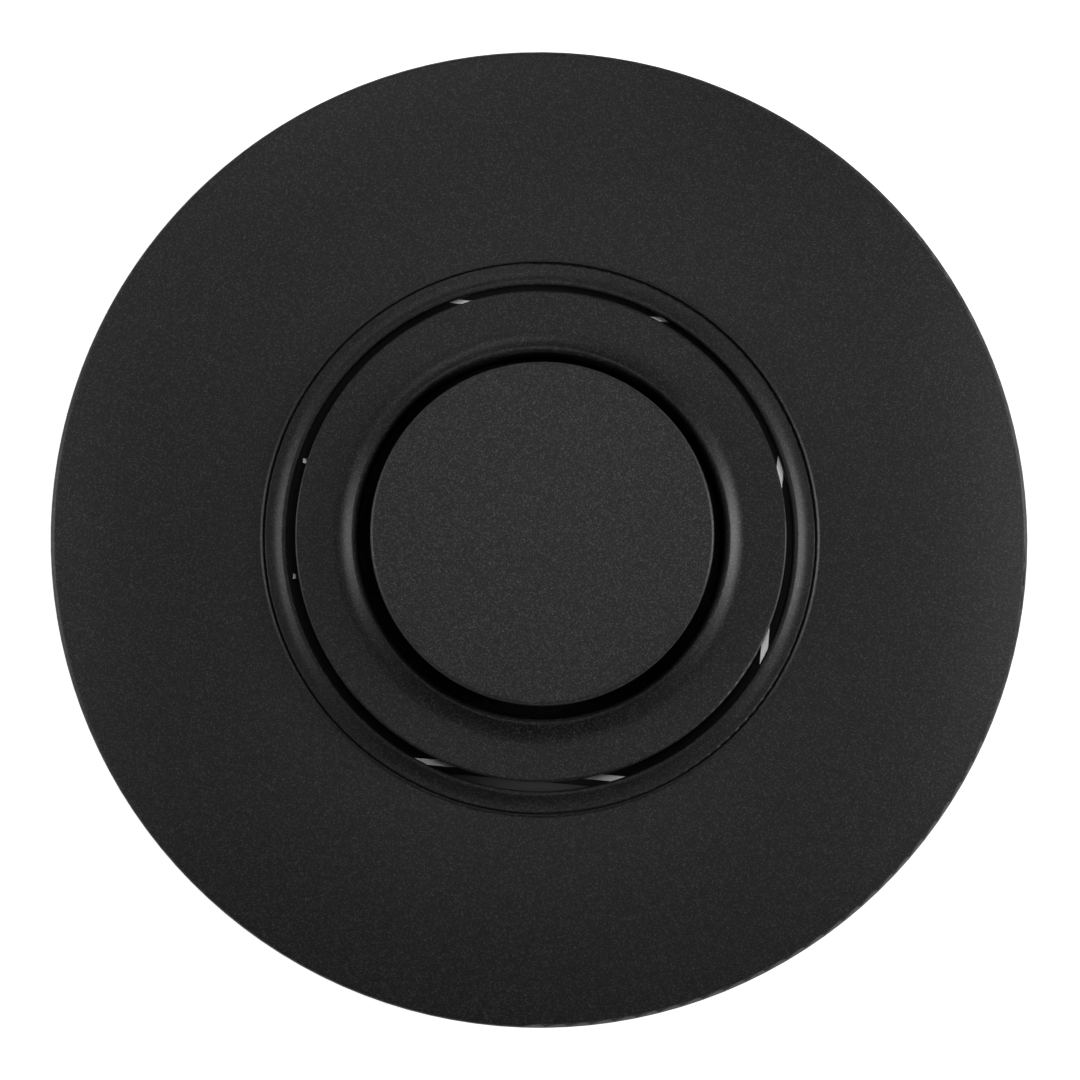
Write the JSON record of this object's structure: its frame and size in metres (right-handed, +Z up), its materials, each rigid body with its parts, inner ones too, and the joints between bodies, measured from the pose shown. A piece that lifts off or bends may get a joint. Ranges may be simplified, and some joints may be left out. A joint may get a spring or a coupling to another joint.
{
  "type": "kitchen garbage disposal",
  "caption": "Under-sink food waste disposer with sink flange, stopper, grinding chamber, side discharge outlet and induction motor in a round black body.",
  "frame": {"origin": "centre of the base ring, on the surface it stands on", "axes": "+Z up through the throat, +X along the discharge outlet"},
  "size_m": [0.2276, 0.2276, 0.3135],
  "materials": {
    "stopper_black": "satin black, fine grain",
    "flange_black": "satin black coated steel",
    "cover_black": "satin black with a very fine sparkle",
    "shell_black": "satin black moulded",
    "housing_black": "glass-filled black moulded",
    "plate_black": "black coated pressed steel",
    "rubber_black": "soft black rubber",
    "fibre_red_brown": "pressed fibre board",
    "steel_slip": "polished steel slip ring",
    "steel_bright": "bright zinc-plated steel",
    "steel_stainless": "brushed stainless steel",
    "cast_alloy": "as-cast alloy",
    "core_steel": "stacked laminations",
    "copper_winding": "enamelled copper wire",
    "bronze_bush": "oil-filled bronze",
    "foam_grey": "open-cell sound foam",
    "switch_tan": "thermoset moulding",
    "button_red": "red moulded",
    "plug_grey": "dark grey moulded"
  },
  "bodies": {
    "body": {"sink_flange": "flange_black", "fibre_gasket": "fibre_red_brown", "backup_ring": "plate_black", "snap_ring": "steel_bright", "upper_mounting_plate": "plate_black", "mounting_screws": "steel_bright", "slip_ring": "steel_slip", "mounting_cushion": "rubber_black", "splash_guard": "rubber_black", "top_cover": "cover_black", "trim_collar": "cover_black", "upper_shell": "shell_black", "upper_foam": "foam_grey", "grind_container": "housing_black", "dishwasher_inlet": "housing_black", "inlet_plug": "plug_grey", "shredder_ring": "steel_stainless", "discharge_housing": "housing_black", "housing_floor": "housing_black", "outlet_gasket": "rubber_black", "outlet_flange": "steel_bright", "outlet_bolts": "steel_bright", "container_gasket": "rubber_black", "clamp_band": "steel_stainless", "clamp_bolt": "steel_bright", "base_plate": "cast_alloy", "housing_screws": "steel_bright", "upper_bush": "bronze_bush", "shaft_seal": "rubber_black", "stator_core": "core_steel", "stator_windings": "copper_winding", "through_bolts": "steel_bright", "lower_end_bell": "cast_alloy", "bearing_outer_race": "steel_bright", "start_switch": "switch_tan", "lower_shell": "shell_black", "lower_foam": "foam_grey", "bottom_cover": "housing_black", "bottom_screws": "steel_bright", "wiring_cover": "plate_black", "wiring_screw": "steel_bright", "terminal_block": "plug_grey", "overload_protector": "switch_tan"},
    "stopper": {"stopper_cap": "stopper_black", "stopper_seal": "rubber_black"},
    "lock_ring": {"lock_ring": "plate_black"},
    "rotor": {"motor_shaft": "steel_bright", "rotor_core": "core_steel", "rotor_end_rings": "cast_alloy", "turntable": "steel_stainless", "turntable_nut": "steel_bright", "impeller_rivets": "steel_bright", "water_slinger": "rubber_black", "bearing_inner_race": "steel_bright", "governor_weights": "cast_alloy"},
    "bearing_cage": {"bearing_balls": "steel_bright"},
    "impeller_a": {"impeller_a": "steel_stainless"},
    "impeller_b": {"impeller_b": "steel_stainless"},
    "governor": {"governor_collar": "switch_tan"},
    "reset_button": {"reset_button": "button_red"}
  },
  "joints": [
    {"name": "stopper_lift", "type": "slide", "parent": "body", "child": "stopper", "axis": [0, 0, 1], "range_m": [0, 0.06]},
    {"name": "lock_ring_turn", "type": "hinge", "parent": "body", "child": "lock_ring", "pos_m": [0, 0, 0.268], "axis": [0, 0, 1], "range_deg": [0, 40]},
    {"name": "rotor_spin", "type": "hinge", "parent": "body", "child": "rotor", "pos_m": [0, 0, 0.1], "axis": [0, 0, 1], "continuous": true},
    {"name": "bearing_cage_spin", "type": "hinge", "parent": "body", "child": "bearing_cage", "pos_m": [0, 0, 0.0195], "axis": [0, 0, 1], "continuous": true},
    {"name": "impeller_a_swing", "type": "hinge", "parent": "rotor", "child": "impeller_a", "pos_m": [0.038, 0, 0.16], "axis": [0, 0, 1], "continuous": true},
    {"name": "impeller_b_swing", "type": "hinge", "parent": "rotor", "child": "impeller_b", "pos_m": [-0.038, 0, 0.16], "axis": [0, 0, 1], "continuous": true},
    {"name": "governor_slide", "type": "slide", "parent": "rotor", "child": "governor", "axis": [0, 0, 1], "range_m": [0, 0.002], "stiffness_N_per_m": 600, "springref_m": -0.002},
    {"name": "reset_button_press", "type": "slide", "parent": "body", "child": "reset_button", "axis": [0, 0, 1], "range_m": [0, 0.0025], "stiffness_N_per_m": 400, "springref_m": -0.002}
  ],
  "couplings": [
    {"joint": "bearing_cage_spin", "follows": "rotor_spin", "ratio": 0.406}
  ]
}
